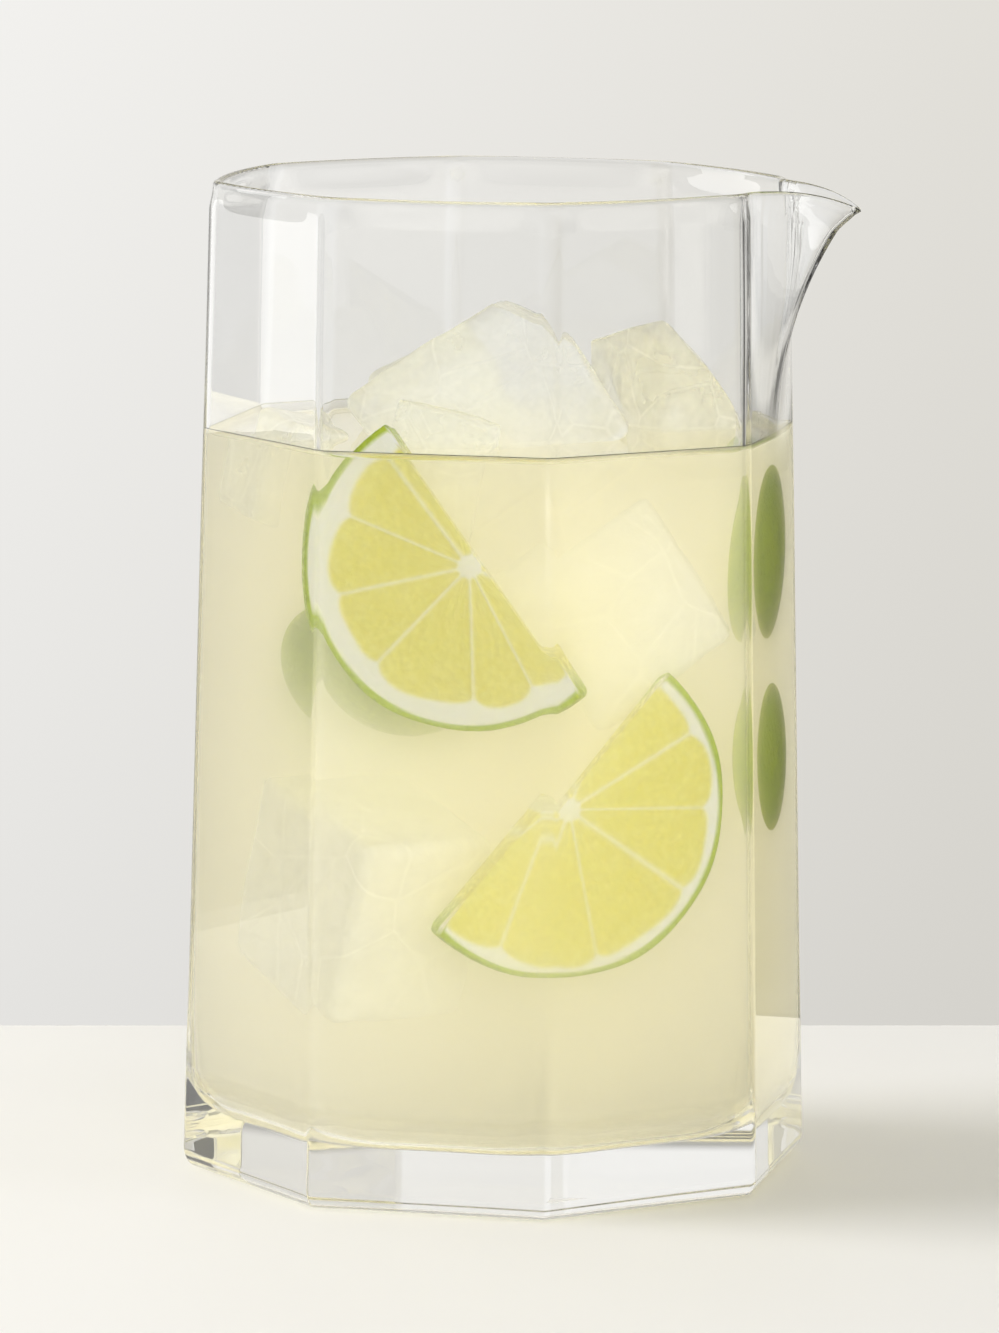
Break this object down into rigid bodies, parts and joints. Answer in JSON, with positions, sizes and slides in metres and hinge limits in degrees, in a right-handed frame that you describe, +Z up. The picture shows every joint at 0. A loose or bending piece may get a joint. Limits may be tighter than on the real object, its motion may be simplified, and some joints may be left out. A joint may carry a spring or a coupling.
{
  "type": "glass pitcher",
  "caption": "Handleless octagonal glass pitcher with a round rim and pulled pouring spout, filled with a cloudy lime drink, loose ice and lime pieces.",
  "frame": {"origin": "centre of the flat base, on the table", "axes": "+Z up, +X towards the pouring spout, +Y to the left of someone pouring away from themselves"},
  "size_m": [0.1125, 0.1004, 0.17],
  "materials": {
    "clear_glass": "clear, fire polished",
    "drink": "cloudy liquid",
    "ice": "wet, partly frosted ice",
    "lime": "green waxy peel, pale pith, wet pulp"
  },
  "bodies": {
    "pitcher": {"glass_body": "clear_glass", "drink": "drink"},
    "ice_centre": {"ice_centre": "ice"},
    "ice_right": {"ice_right": "ice"},
    "ice_left": {"ice_left": "ice"},
    "ice_front": {"ice_front": "ice"},
    "ice_rear": {"ice_rear": "ice"},
    "ice_low_right": {"ice_low_right": "ice"},
    "ice_low_left": {"ice_low_left": "ice"},
    "lime_upper": {"lime_upper": "lime"},
    "lime_lower": {"lime_lower": "lime"},
    "lime_cheek_upper": {"lime_cheek_upper": "lime"},
    "lime_cheek_lower": {"lime_cheek_lower": "lime"},
    "lime_cheek_left": {"lime_cheek_left": "lime"}
  },
  "joints": [
    {"name": "ice_centre_bob", "type": "slide", "parent": "pitcher", "child": "ice_centre", "axis": [0, 0, 1], "range_m": [-0.002, 0.004], "stiffness_N_per_m": 10, "springref_m": 0.02363},
    {"name": "ice_right_bob", "type": "slide", "parent": "pitcher", "child": "ice_right", "axis": [0, 0, 1], "range_m": [-0.002, 0.004], "stiffness_N_per_m": 10, "springref_m": 0.00771},
    {"name": "ice_left_bob", "type": "slide", "parent": "pitcher", "child": "ice_left", "axis": [0, 0, 1], "range_m": [-0.002, 0.004], "stiffness_N_per_m": 10, "springref_m": 0.00355},
    {"name": "ice_front_bob", "type": "slide", "parent": "pitcher", "child": "ice_front", "axis": [0, 0, 1], "range_m": [-0.002, 0.004], "stiffness_N_per_m": 10, "springref_m": 0.00257},
    {"name": "ice_rear_bob", "type": "slide", "parent": "pitcher", "child": "ice_rear", "axis": [0, 0, 1], "range_m": [-0.002, 0.004], "stiffness_N_per_m": 10, "springref_m": 0.00752},
    {"name": "ice_low_right_bob", "type": "slide", "parent": "pitcher", "child": "ice_low_right", "axis": [0, 0, 1], "range_m": [-0.002, 0.002], "stiffness_N_per_m": 10, "springref_m": 0.00977},
    {"name": "ice_low_left_bob", "type": "slide", "parent": "pitcher", "child": "ice_low_left", "axis": [0, 0, 1], "range_m": [-0.002, 0.002], "stiffness_N_per_m": 10, "springref_m": 0.02948},
    {"name": "lime_upper_bob", "type": "slide", "parent": "pitcher", "child": "lime_upper", "axis": [0, 0, 1], "range_m": [-0.002, 0.002], "stiffness_N_per_m": 10, "springref_m": 0.00897},
    {"name": "lime_lower_bob", "type": "slide", "parent": "pitcher", "child": "lime_lower", "axis": [0, 0, 1], "range_m": [-0.002, 0.002], "stiffness_N_per_m": 10, "springref_m": 0.00877},
    {"name": "lime_cheek_upper_bob", "type": "slide", "parent": "pitcher", "child": "lime_cheek_upper", "axis": [0, 0, 1], "range_m": [-0.002, 0.002], "stiffness_N_per_m": 10, "springref_m": 0.00289},
    {"name": "lime_cheek_lower_bob", "type": "slide", "parent": "pitcher", "child": "lime_cheek_lower", "axis": [0, 0, 1], "range_m": [-0.002, 0.002], "stiffness_N_per_m": 10, "springref_m": 0.00169},
    {"name": "lime_cheek_left_bob", "type": "slide", "parent": "pitcher", "child": "lime_cheek_left", "axis": [0, 0, 1], "range_m": [-0.002, 0.002], "stiffness_N_per_m": 10, "springref_m": 0.00306}
  ]
}
